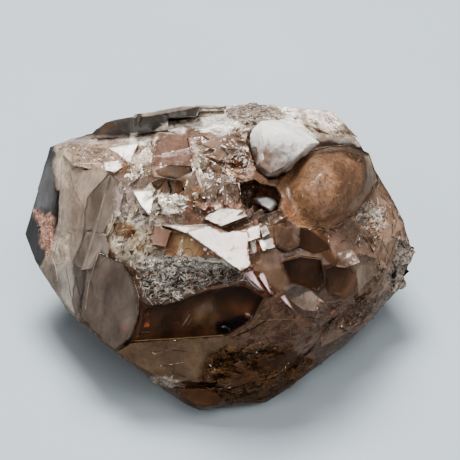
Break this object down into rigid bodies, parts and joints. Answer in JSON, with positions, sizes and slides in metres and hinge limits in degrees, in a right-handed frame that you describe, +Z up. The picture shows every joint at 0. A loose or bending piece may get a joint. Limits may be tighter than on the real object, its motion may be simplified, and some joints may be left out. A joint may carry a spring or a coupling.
{
  "type": "himalayan smoky quartz crystal",
  "caption": "Blunt, intergrown smoky quartz specimen, see-through brown with white fracture planes, a rounded crystal and a milky crystal on its upper right, lying on a flat broken face.",
  "frame": {"origin": "on the ground, under the middle of the specimen's box", "axes": "+Z up; +X along the specimen's length, to the right of someone facing its show side; the show side faces -Y"},
  "size_m": [0.0808, 0.0692, 0.0503],
  "materials": {
    "smoky_quartz": "gloss",
    "milky_quartz": "satin"
  },
  "bodies": {
    "root": {"smoky_quartz_crystal": "smoky_quartz", "milky_crystal": "milky_quartz", "pocket_crystal": "milky_quartz"}
  },
  "joints": []
}
